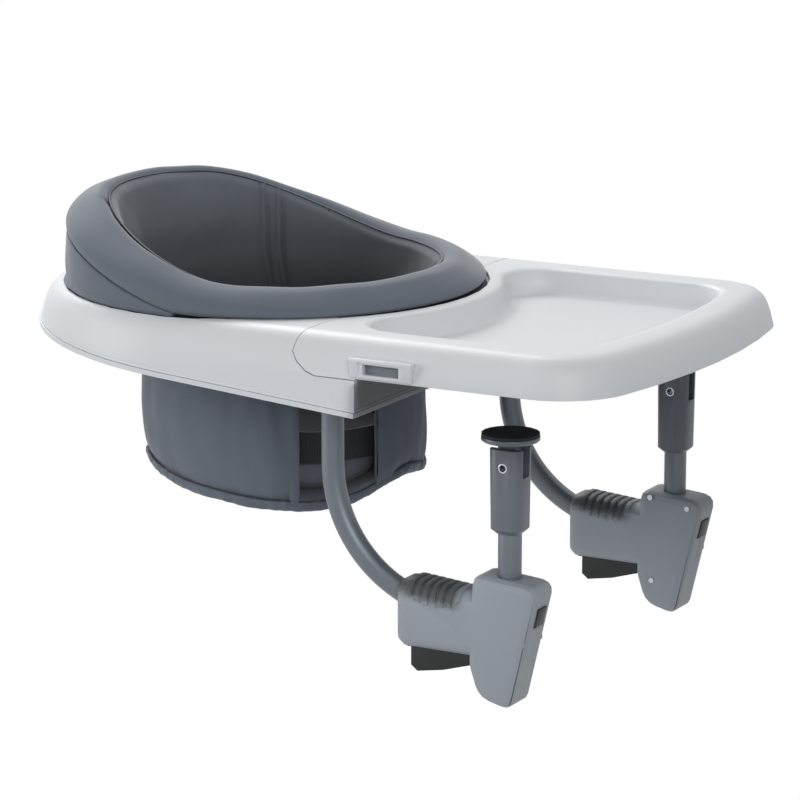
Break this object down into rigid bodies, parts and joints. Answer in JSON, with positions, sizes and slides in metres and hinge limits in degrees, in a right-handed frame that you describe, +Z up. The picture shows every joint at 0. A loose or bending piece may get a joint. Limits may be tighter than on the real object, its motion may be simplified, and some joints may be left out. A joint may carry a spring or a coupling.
{
  "type": "hook-on table chair",
  "caption": "Baby seat that clamps to a table: turning padded seat in a moulded ring, lift-off tray, and two folding arms with squeeze clamps.",
  "frame": {"origin": "underside of the front rest pad on the plane of symmetry, 10 mm in from the table's edge", "axes": "+X over the table, +Y to the child's left, +Z up; Z = 0 is the table top"},
  "size_m": [0.6018, 0.3854, 0.3561],
  "materials": {
    "pale_shell": "satin moulded",
    "latch_frame": "satin moulded",
    "latch_grey": "fine texture",
    "outer_fabric": "woven with a slight sheen",
    "lining": "woven",
    "webbing": "webbing",
    "black_plastic": "fine texture",
    "clamp_plastic": "satin moulded",
    "grey_paint": "satin powder coat",
    "bright_steel": "zinc plated",
    "grip_rubber": "matt",
    "inner_plastic": "matt"
  },
  "bodies": {
    "housing": {"ring_housing": "pale_shell", "under_cover": "pale_shell", "table_pad_front": "grip_rubber", "table_pad_right": "grip_rubber", "table_pad_left": "grip_rubber", "pivot_bush_right": "inner_plastic", "pivot_bush_left": "inner_plastic"},
    "turn_lock": {"turn_lock": "inner_plastic"},
    "tray": {"tray": "pale_shell", "latch_bezel_right": "latch_frame", "latch_bezel_left": "latch_frame"},
    "seat": {"turning_ring": "inner_plastic", "rim_pad": "outer_fabric", "back_bolster": "outer_fabric", "seat_liner": "lining", "seat_wrap": "outer_fabric", "crotch_panel": "outer_fabric", "seat_base": "outer_fabric", "seat_cushion": "lining", "lap_strap_right": "webbing", "lap_strap_left": "webbing", "crotch_strap": "webbing", "harness_buckle": "black_plastic"},
    "tray_latch_right": {"latch_plate_right": "latch_grey"},
    "arm_right": {"arm_tube_right": "grey_paint", "arm_retainer_right": "inner_plastic", "clamp_outer_shell_right": "clamp_plastic", "clamp_inner_shell_right": "clamp_plastic", "clamp_screw_top_right": "bright_steel", "clamp_screw_nose_right": "bright_steel", "clamp_screw_low_right": "bright_steel", "drive_spring_right": "bright_steel"},
    "trigger_right": {"clamp_trigger_right": "black_plastic"},
    "drive_plate_right": {"drive_plate_right": "bright_steel"},
    "lock_plate_right": {"lock_plate_right": "bright_steel"},
    "release_button_right": {"release_button_right": "black_plastic"},
    "post_right": {"clamp_post_right": "grey_paint", "post_sleeve_right": "clamp_plastic", "foot_pin_right": "bright_steel"},
    "foot_right": {"foot_plate_right": "grey_paint", "foot_pad_right": "grip_rubber"},
    "tray_latch_left": {"latch_plate_left": "latch_grey"},
    "arm_left": {"arm_tube_left": "grey_paint", "arm_retainer_left": "inner_plastic", "clamp_outer_shell_left": "clamp_plastic", "clamp_inner_shell_left": "clamp_plastic", "clamp_screw_top_left": "bright_steel", "clamp_screw_nose_left": "bright_steel", "clamp_screw_low_left": "bright_steel", "drive_spring_left": "bright_steel"},
    "trigger_left": {"clamp_trigger_left": "black_plastic"},
    "drive_plate_left": {"drive_plate_left": "bright_steel"},
    "lock_plate_left": {"lock_plate_left": "bright_steel"},
    "release_button_left": {"release_button_left": "black_plastic"},
    "post_left": {"clamp_post_left": "grey_paint", "post_sleeve_left": "clamp_plastic", "foot_pin_left": "bright_steel"},
    "foot_left": {"foot_plate_left": "grey_paint", "foot_pad_left": "grip_rubber"}
  },
  "joints": [
    {"name": "seat_turn", "type": "hinge", "parent": "housing", "child": "seat", "pos_m": [-0.192, 0, 0.02], "axis": [0, 0, 1], "continuous": true},
    {"name": "seat_lock_slide", "type": "slide", "parent": "housing", "child": "turn_lock", "axis": [1, 0, 0], "range_m": [0, 0.004]},
    {"name": "tray_lift", "type": "slide", "parent": "housing", "child": "tray", "axis": [0, 0, 1], "range_m": [0, 0.06]},
    {"name": "tray_latch_press_right", "type": "slide", "parent": "tray", "child": "tray_latch_right", "axis": [0, 1, 0], "range_m": [0, 0.004], "stiffness_N_per_m": 300},
    {"name": "arm_fold_right", "type": "hinge", "parent": "housing", "child": "arm_right", "pos_m": [-0.051, -0.1523, -0.03], "axis": [0, 0, 1], "range_deg": [0, 85]},
    {"name": "trigger_squeeze_right", "type": "hinge", "parent": "arm_right", "child": "trigger_right", "pos_m": [0.112, -0.1523, -0.209], "axis": [0, 1, 0], "range_deg": [0, 9.4], "stiffness_Nm_per_rad": 0.6, "deforming": ["drive_spring_right"]},
    {"name": "drive_plate_tilt_right", "type": "hinge", "parent": "arm_right", "child": "drive_plate_right", "pos_m": [0.1205, -0.1523, -0.195], "axis": [0, 1, 0], "range_deg": [0, 6.8]},
    {"name": "release_press_right", "type": "slide", "parent": "arm_right", "child": "release_button_right", "axis": [-1, 0, 0], "range_m": [0, 0.003], "stiffness_N_per_m": 300},
    {"name": "lock_plate_tilt_right", "type": "hinge", "parent": "arm_right", "child": "lock_plate_right", "pos_m": [0.0905, -0.1523, -0.1755], "axis": [0, -1, 0], "range_deg": [0, 3.1]},
    {"name": "post_slide_right", "type": "slide", "parent": "arm_right", "child": "post_right", "axis": [0, 0, -1], "range_m": [-0.012, 0.028]},
    {"name": "foot_rock_right", "type": "hinge", "parent": "post_right", "child": "foot_right", "pos_m": [0.1056, -0.1523, -0.062], "axis": [0, 1, 0], "range_deg": [-8, 8]},
    {"name": "tray_latch_press_left", "type": "slide", "parent": "tray", "child": "tray_latch_left", "axis": [0, -1, 0], "range_m": [0, 0.004], "stiffness_N_per_m": 300},
    {"name": "arm_fold_left", "type": "hinge", "parent": "housing", "child": "arm_left", "pos_m": [-0.051, 0.1523, -0.03], "axis": [0, 0, 1], "range_deg": [-85, 0]},
    {"name": "trigger_squeeze_left", "type": "hinge", "parent": "arm_left", "child": "trigger_left", "pos_m": [0.112, 0.1523, -0.209], "axis": [0, 1, 0], "range_deg": [0, 9.4], "stiffness_Nm_per_rad": 0.6, "deforming": ["drive_spring_left"]},
    {"name": "drive_plate_tilt_left", "type": "hinge", "parent": "arm_left", "child": "drive_plate_left", "pos_m": [0.1205, 0.1523, -0.195], "axis": [0, 1, 0], "range_deg": [0, 6.8]},
    {"name": "release_press_left", "type": "slide", "parent": "arm_left", "child": "release_button_left", "axis": [-1, 0, 0], "range_m": [0, 0.003], "stiffness_N_per_m": 300},
    {"name": "lock_plate_tilt_left", "type": "hinge", "parent": "arm_left", "child": "lock_plate_left", "pos_m": [0.0905, 0.1523, -0.1755], "axis": [0, -1, 0], "range_deg": [0, 3.1]},
    {"name": "post_slide_left", "type": "slide", "parent": "arm_left", "child": "post_left", "axis": [0, 0, 1], "range_m": [-0.028, 0.012]},
    {"name": "foot_rock_left", "type": "hinge", "parent": "post_left", "child": "foot_left", "pos_m": [0.1056, 0.1523, -0.062], "axis": [0, 1, 0], "range_deg": [-8, 8]}
  ],
  "couplings": [
    {"joint": "drive_plate_tilt_right", "follows": "trigger_squeeze_right", "ratio": 0.71},
    {"joint": "lock_plate_tilt_right", "follows": "release_press_right", "rad_per_m": 17.4},
    {"joint": "drive_plate_tilt_left", "follows": "trigger_squeeze_left", "ratio": 0.71},
    {"joint": "lock_plate_tilt_left", "follows": "release_press_left", "rad_per_m": 17.4}
  ]
}
